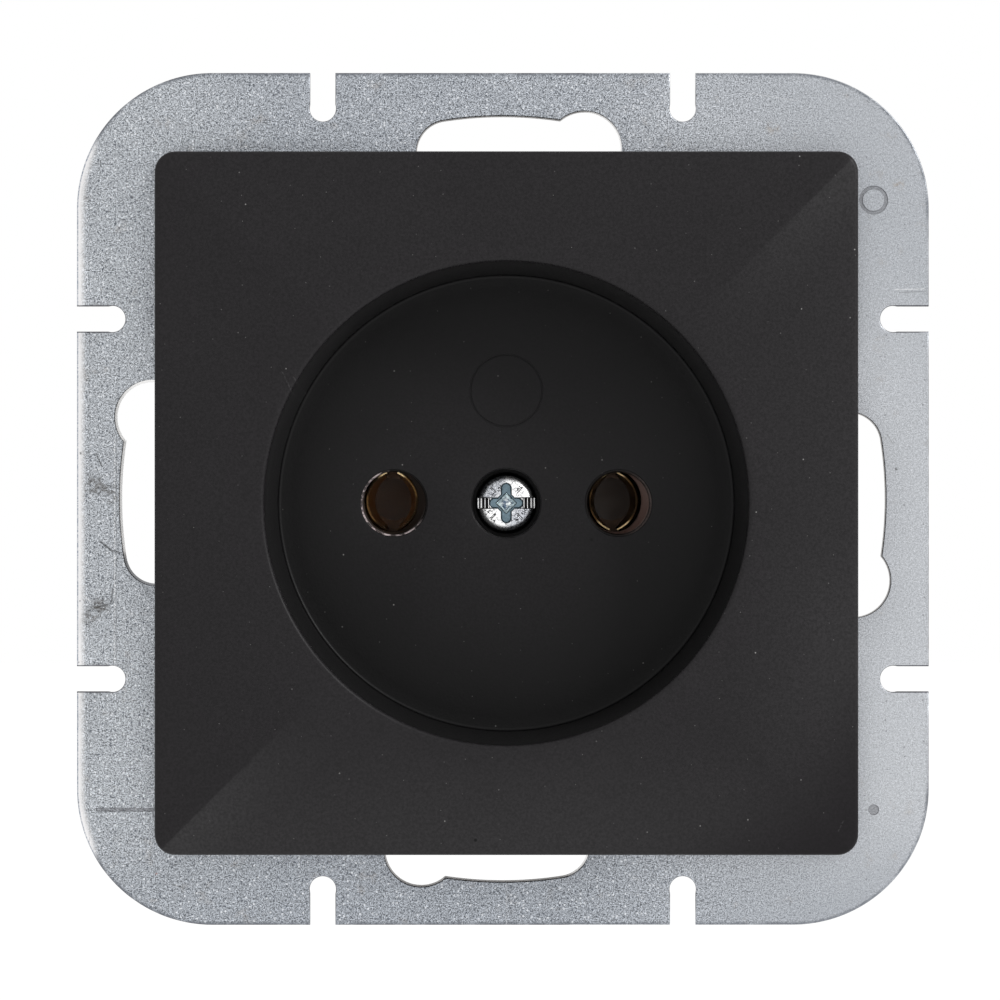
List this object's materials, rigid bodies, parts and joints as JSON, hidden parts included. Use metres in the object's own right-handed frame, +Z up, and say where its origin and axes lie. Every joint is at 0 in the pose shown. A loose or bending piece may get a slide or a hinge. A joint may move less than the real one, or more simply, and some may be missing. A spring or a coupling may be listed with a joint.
{
  "type": "wall socket",
  "caption": "Flush-mounted round-pin wall socket without earth: square black cover with a round plug well, on a square steel support plate with keyholes, terminals behind.",
  "frame": {"origin": "centre of the circle that the wall box screws lie on, at the support plate's rear face, which is the wall plane", "axes": "+X to the right, +Z up, -Y out of the wall towards the plug, +Y into the wall box"},
  "size_m": [0.071, 0.0369, 0.071],
  "materials": {
    "zinc_plate": "zinc-plated rolled sheet, fine grey speckle, light smudges",
    "cover_plastic": "matt black, fine moulded texture, specks of dust",
    "bright_steel": "bright zinc",
    "housing_plastic": "dark brown-grey, slightly glossy",
    "contact_brass": "plain rolled brass"
  },
  "bodies": {
    "root": {"support_plate": "zinc_plate", "plate_rivet_1": "bright_steel", "plate_rivet_2": "bright_steel", "plate_rivet_3": "bright_steel", "plate_rivet_4": "bright_steel", "cover": "cover_plastic", "cover_screw": "bright_steel", "cover_nut": "bright_steel", "housing": "housing_plastic", "rear_cap": "housing_plastic", "cap_screw_top": "bright_steel", "cap_screw_bottom": "bright_steel", "contact_left": "contact_brass", "contact_right": "contact_brass", "terminal_block_left_top": "contact_brass", "terminal_block_left_bottom": "contact_brass", "terminal_block_right_top": "contact_brass", "terminal_block_right_bottom": "contact_brass", "terminal_screw_left_top": "bright_steel", "terminal_screw_left_bottom": "bright_steel", "terminal_screw_right_top": "bright_steel", "terminal_screw_right_bottom": "bright_steel"}
  },
  "joints": []
}
